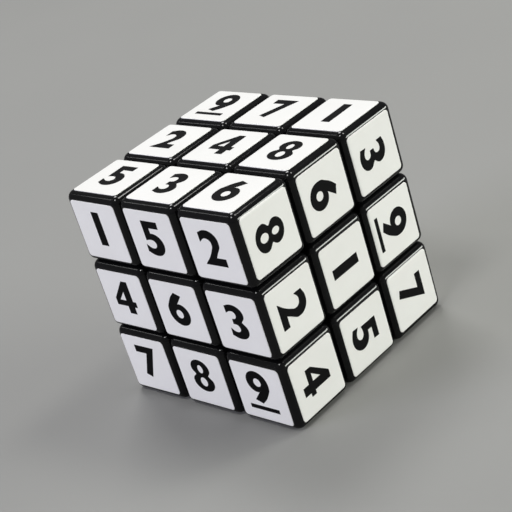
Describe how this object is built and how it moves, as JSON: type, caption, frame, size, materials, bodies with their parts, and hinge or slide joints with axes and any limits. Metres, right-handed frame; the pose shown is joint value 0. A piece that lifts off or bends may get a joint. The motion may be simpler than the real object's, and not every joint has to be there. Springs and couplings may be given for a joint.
{
  "type": "number puzzle cube",
  "caption": "Cube puzzle in black plastic whose stickered layers turn about a sprung and screwed core, with bold black numbers on white stickers.",
  "frame": {"origin": "the middle of the cube, at the centre of the core where the three turning axes cross", "axes": "+Z out of the up face, -Y out of the front face and +X out of the right face; the cube stands on its down face"},
  "size_m": [0.057, 0.057, 0.057],
  "materials": {
    "black_plastic": "moulded black plastic, glossy, with rounded edges",
    "core_plastic": "natural moulded plastic, satin",
    "zinc_steel": "bright zinc-plated steel",
    "spring_steel": "drawn spring wire",
    "sticker_vinyl": "white vinyl film printed with black numbers"
  },
  "bodies": {
    "core": {"core": "core_plastic", "screw_up": "zinc_steel", "screw_down": "zinc_steel", "screw_front": "zinc_steel", "screw_back": "zinc_steel", "screw_right": "zinc_steel", "screw_left": "zinc_steel", "washer_up": "zinc_steel", "washer_down": "zinc_steel", "washer_front": "zinc_steel", "washer_back": "zinc_steel", "washer_right": "zinc_steel", "washer_left": "zinc_steel", "spring_up": "spring_steel", "spring_down": "spring_steel", "spring_front": "spring_steel", "spring_back": "spring_steel", "spring_right": "spring_steel", "spring_left": "spring_steel"},
    "centre_up": {"centre_up": "black_plastic", "cap_up": "black_plastic"},
    "centre_down": {"centre_down": "black_plastic", "cap_down": "black_plastic"},
    "centre_front": {"centre_front": "black_plastic", "cap_front": "black_plastic"},
    "centre_back": {"centre_back": "black_plastic", "cap_back": "black_plastic"},
    "centre_right": {"centre_right": "black_plastic", "cap_right": "black_plastic"},
    "centre_left": {"centre_left": "black_plastic", "cap_left": "black_plastic"},
    "edge_up_front": {"edge_up_front": "black_plastic"},
    "edge_up_back": {"edge_up_back": "black_plastic"},
    "edge_up_right": {"edge_up_right": "black_plastic"},
    "edge_up_left": {"edge_up_left": "black_plastic"},
    "edge_down_front": {"edge_down_front": "black_plastic"},
    "edge_down_back": {"edge_down_back": "black_plastic"},
    "edge_down_right": {"edge_down_right": "black_plastic"},
    "edge_down_left": {"edge_down_left": "black_plastic"},
    "edge_front_right": {"edge_front_right": "black_plastic"},
    "edge_front_left": {"edge_front_left": "black_plastic"},
    "edge_back_right": {"edge_back_right": "black_plastic"},
    "edge_back_left": {"edge_back_left": "black_plastic"},
    "corner_up_front_right": {"corner_up_front_right": "black_plastic"},
    "corner_up_front_left": {"corner_up_front_left": "black_plastic"},
    "corner_up_back_right": {"corner_up_back_right": "black_plastic"},
    "corner_up_back_left": {"corner_up_back_left": "black_plastic"},
    "corner_down_front_right": {"corner_down_front_right": "black_plastic"},
    "corner_down_front_left": {"corner_down_front_left": "black_plastic"},
    "corner_down_back_right": {"corner_down_back_right": "black_plastic"},
    "corner_down_back_left": {"corner_down_back_left": "black_plastic"}
  },
  "joints": [
    {"name": "up_turn", "type": "hinge", "parent": "core", "child": "centre_up", "pos_m": [0, 0, 0], "axis": [0, 0, 1], "continuous": true},
    {"name": "down_turn", "type": "hinge", "parent": "core", "child": "centre_down", "pos_m": [0, 0, 0], "axis": [0, 0, 1], "continuous": true},
    {"name": "front_turn", "type": "hinge", "parent": "core", "child": "centre_front", "pos_m": [0, 0, 0], "axis": [0, 1, 0], "continuous": true},
    {"name": "back_turn", "type": "hinge", "parent": "core", "child": "centre_back", "pos_m": [0, 0, 0], "axis": [0, 1, 0], "continuous": true},
    {"name": "right_turn", "type": "hinge", "parent": "core", "child": "centre_right", "pos_m": [0, 0, 0], "axis": [1, 0, 0], "continuous": true},
    {"name": "left_turn", "type": "hinge", "parent": "core", "child": "centre_left", "pos_m": [0, 0, 0], "axis": [1, 0, 0], "continuous": true},
    {"name": "edge_up_front_front_turn", "type": "hinge", "parent": "centre_up", "child": "edge_up_front", "pos_m": [0, 0, 0], "axis": [0, 1, 0], "continuous": true},
    {"name": "edge_up_back_back_turn", "type": "hinge", "parent": "centre_up", "child": "edge_up_back", "pos_m": [0, 0, 0], "axis": [0, 1, 0], "continuous": true},
    {"name": "edge_up_right_up_turn", "type": "hinge", "parent": "centre_right", "child": "edge_up_right", "pos_m": [0, 0, 0], "axis": [0, 0, 1], "continuous": true},
    {"name": "edge_up_left_up_turn", "type": "hinge", "parent": "centre_left", "child": "edge_up_left", "pos_m": [0, 0, 0], "axis": [0, 0, 1], "continuous": true},
    {"name": "edge_down_front_front_turn", "type": "hinge", "parent": "centre_down", "child": "edge_down_front", "pos_m": [0, 0, 0], "axis": [0, 1, 0], "continuous": true},
    {"name": "edge_down_back_back_turn", "type": "hinge", "parent": "centre_down", "child": "edge_down_back", "pos_m": [0, 0, 0], "axis": [0, 1, 0], "continuous": true},
    {"name": "edge_down_right_down_turn", "type": "hinge", "parent": "centre_right", "child": "edge_down_right", "pos_m": [0, 0, 0], "axis": [0, 0, 1], "continuous": true},
    {"name": "edge_down_left_down_turn", "type": "hinge", "parent": "centre_left", "child": "edge_down_left", "pos_m": [0, 0, 0], "axis": [0, 0, 1], "continuous": true},
    {"name": "edge_front_right_right_turn", "type": "hinge", "parent": "centre_front", "child": "edge_front_right", "pos_m": [0, 0, 0], "axis": [1, 0, 0], "continuous": true},
    {"name": "edge_front_left_left_turn", "type": "hinge", "parent": "centre_front", "child": "edge_front_left", "pos_m": [0, 0, 0], "axis": [1, 0, 0], "continuous": true},
    {"name": "edge_back_right_right_turn", "type": "hinge", "parent": "centre_back", "child": "edge_back_right", "pos_m": [0, 0, 0], "axis": [1, 0, 0], "continuous": true},
    {"name": "edge_back_left_left_turn", "type": "hinge", "parent": "centre_back", "child": "edge_back_left", "pos_m": [0, 0, 0], "axis": [1, 0, 0], "continuous": true},
    {"name": "corner_up_front_right_right_turn", "type": "hinge", "parent": "edge_up_front", "child": "corner_up_front_right", "pos_m": [0, 0, 0], "axis": [1, 0, 0], "continuous": true},
    {"name": "corner_up_front_left_left_turn", "type": "hinge", "parent": "edge_up_front", "child": "corner_up_front_left", "pos_m": [0, 0, 0], "axis": [1, 0, 0], "continuous": true},
    {"name": "corner_up_back_right_right_turn", "type": "hinge", "parent": "edge_up_back", "child": "corner_up_back_right", "pos_m": [0, 0, 0], "axis": [1, 0, 0], "continuous": true},
    {"name": "corner_up_back_left_left_turn", "type": "hinge", "parent": "edge_up_back", "child": "corner_up_back_left", "pos_m": [0, 0, 0], "axis": [1, 0, 0], "continuous": true},
    {"name": "corner_down_front_right_right_turn", "type": "hinge", "parent": "edge_down_front", "child": "corner_down_front_right", "pos_m": [0, 0, 0], "axis": [1, 0, 0], "continuous": true},
    {"name": "corner_down_front_left_left_turn", "type": "hinge", "parent": "edge_down_front", "child": "corner_down_front_left", "pos_m": [0, 0, 0], "axis": [1, 0, 0], "continuous": true},
    {"name": "corner_down_back_right_right_turn", "type": "hinge", "parent": "edge_down_back", "child": "corner_down_back_right", "pos_m": [0, 0, 0], "axis": [1, 0, 0], "continuous": true},
    {"name": "corner_down_back_left_left_turn", "type": "hinge", "parent": "edge_down_back", "child": "corner_down_back_left", "pos_m": [0, 0, 0], "axis": [1, 0, 0], "continuous": true}
  ],
  "couplings": [
    {"joint": "edge_up_front_front_turn", "follows": "front_turn", "ratio": 1},
    {"joint": "edge_up_back_back_turn", "follows": "back_turn", "ratio": 1},
    {"joint": "edge_up_right_up_turn", "follows": "up_turn", "ratio": 1},
    {"joint": "edge_up_left_up_turn", "follows": "up_turn", "ratio": 1},
    {"joint": "edge_down_front_front_turn", "follows": "front_turn", "ratio": 1},
    {"joint": "edge_down_back_back_turn", "follows": "back_turn", "ratio": 1},
    {"joint": "edge_down_right_down_turn", "follows": "down_turn", "ratio": 1},
    {"joint": "edge_down_left_down_turn", "follows": "down_turn", "ratio": 1},
    {"joint": "edge_front_right_right_turn", "follows": "right_turn", "ratio": 1},
    {"joint": "edge_front_left_left_turn", "follows": "left_turn", "ratio": 1},
    {"joint": "edge_back_right_right_turn", "follows": "right_turn", "ratio": 1},
    {"joint": "edge_back_left_left_turn", "follows": "left_turn", "ratio": 1},
    {"joint": "corner_up_front_right_right_turn", "follows": "right_turn", "ratio": 1},
    {"joint": "corner_up_front_left_left_turn", "follows": "left_turn", "ratio": 1},
    {"joint": "corner_up_back_right_right_turn", "follows": "right_turn", "ratio": 1},
    {"joint": "corner_up_back_left_left_turn", "follows": "left_turn", "ratio": 1},
    {"joint": "corner_down_front_right_right_turn", "follows": "right_turn", "ratio": 1},
    {"joint": "corner_down_front_left_left_turn", "follows": "left_turn", "ratio": 1},
    {"joint": "corner_down_back_right_right_turn", "follows": "right_turn", "ratio": 1},
    {"joint": "corner_down_back_left_left_turn", "follows": "left_turn", "ratio": 1}
  ]
}
